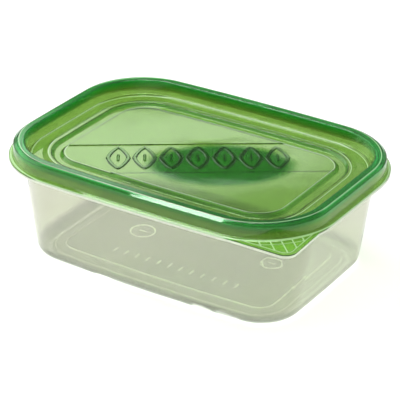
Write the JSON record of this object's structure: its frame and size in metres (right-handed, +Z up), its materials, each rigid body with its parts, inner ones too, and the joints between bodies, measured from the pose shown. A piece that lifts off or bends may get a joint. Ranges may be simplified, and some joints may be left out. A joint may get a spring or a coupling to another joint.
{
  "type": "empty lidded food container",
  "caption": "Empty thin-walled food tub with tapered walls and a translucent green snap lid that has a stacking recess and a pull tab at one corner.",
  "frame": {"origin": "middle of the standing plane, under the middle of the rim", "axes": "+X along the container's length, +Z up out of the lid; the pull tab is at the +X -Y corner"},
  "size_m": [0.18, 0.1306, 0.0611],
  "materials": {
    "tub_plastic": "clear, slightly hazy moulded polypropylene",
    "lid_plastic": "translucent green formed polypropylene"
  },
  "bodies": {
    "root": {"tub": "tub_plastic", "lid": "lid_plastic"}
  },
  "joints": []
}
